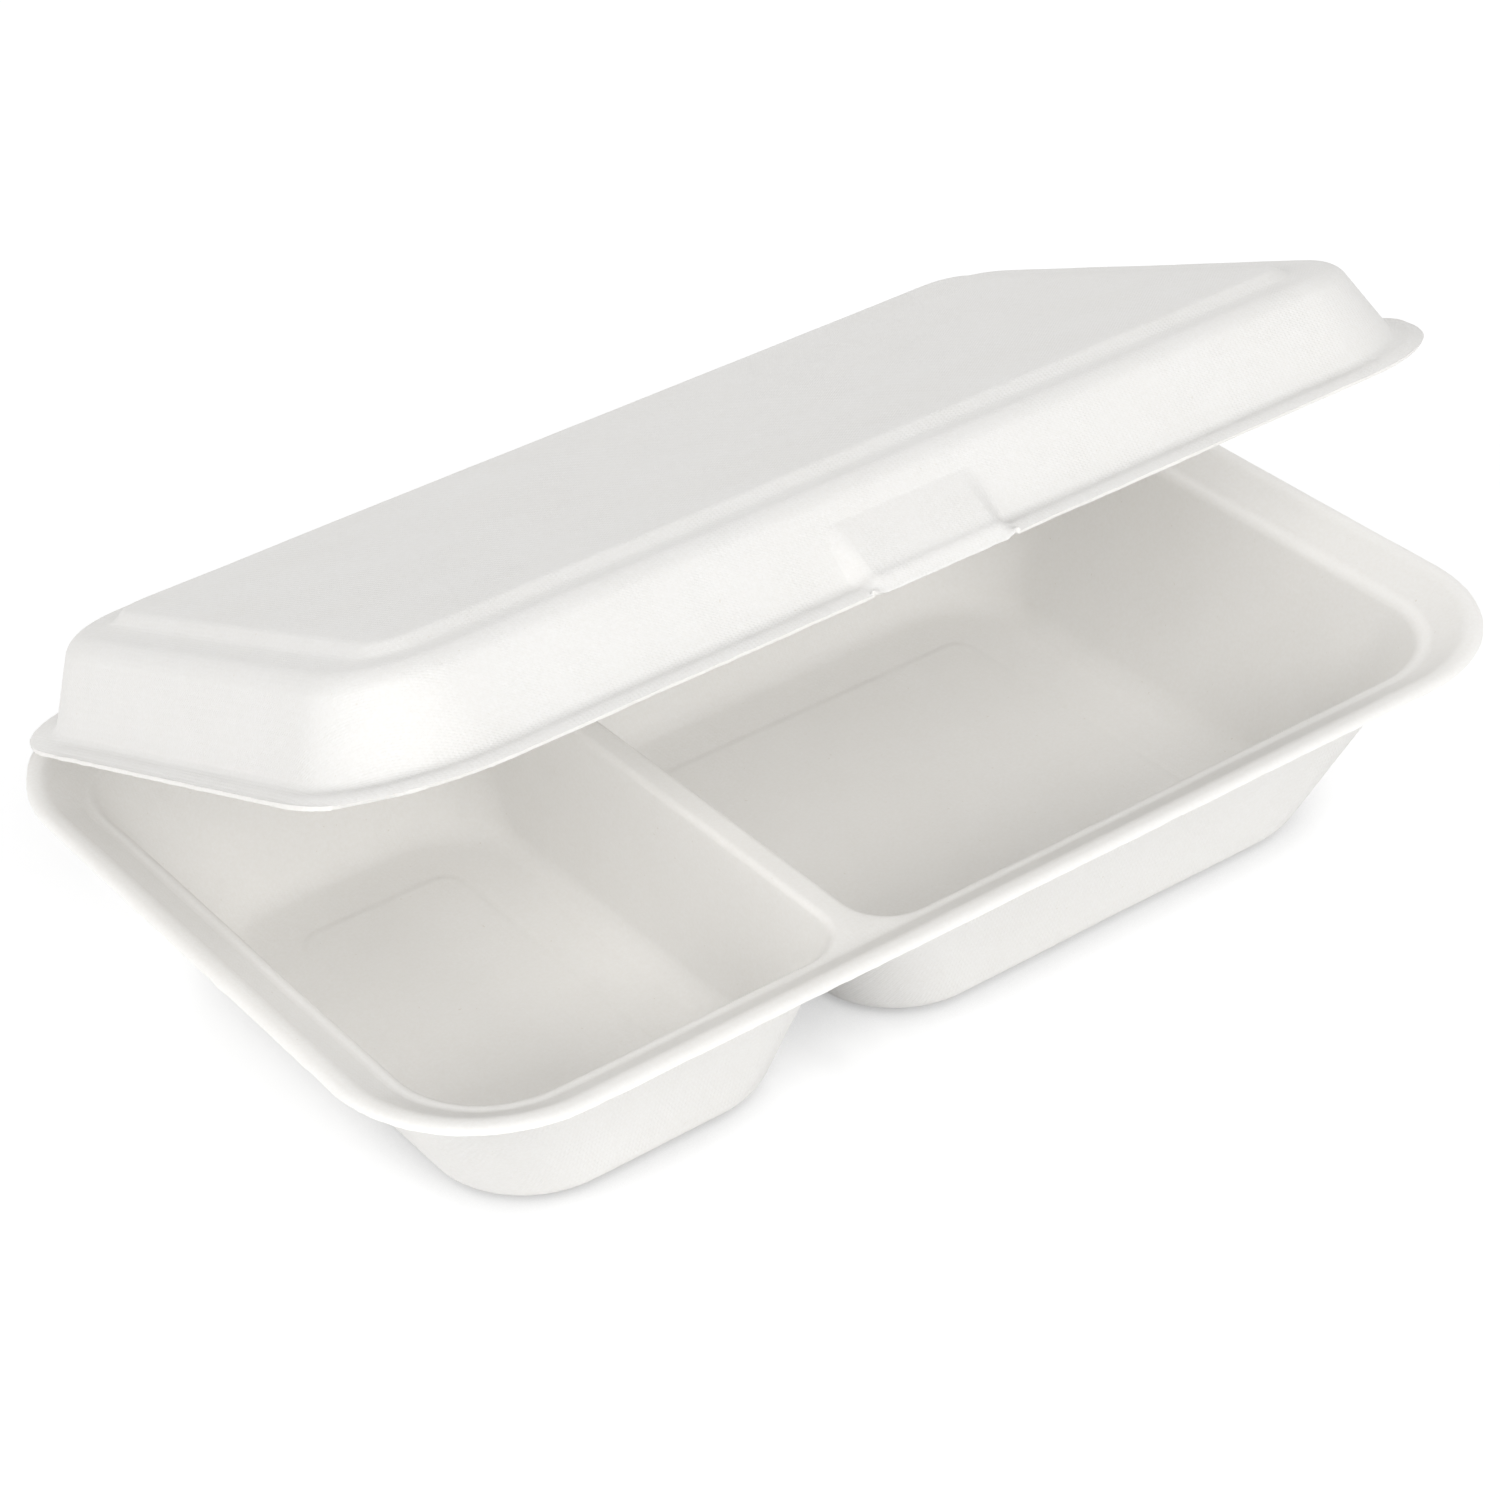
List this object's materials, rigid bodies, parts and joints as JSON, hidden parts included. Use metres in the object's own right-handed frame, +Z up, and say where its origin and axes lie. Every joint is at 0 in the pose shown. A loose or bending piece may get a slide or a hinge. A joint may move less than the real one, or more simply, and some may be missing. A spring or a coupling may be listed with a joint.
{
  "type": "two-compartment meal box",
  "caption": "Hinged meal box of moulded sugarcane fibre: tray split by a low divider into a small and a large compartment, stepped rim, domed lid with a finger tab.",
  "frame": {"origin": "on the table, under the middle of the tray", "axes": "+Z up, +X along the long side towards the large compartment, -Y towards the opening side with the finger tab, +Y towards the fold"},
  "size_m": [0.248, 0.162, 0.1111],
  "materials": {
    "tray_fibre": "matte",
    "lid_fibre": "matte"
  },
  "bodies": {
    "tray": {"tray": "tray_fibre"},
    "lid": {"lid": "lid_fibre"}
  },
  "joints": [
    {"name": "lid_hinge", "type": "hinge", "parent": "tray", "child": "lid", "pos_m": [0, 0.081, 0.04215], "axis": [-1, 0, 0], "range_deg": [-22, 158]}
  ]
}
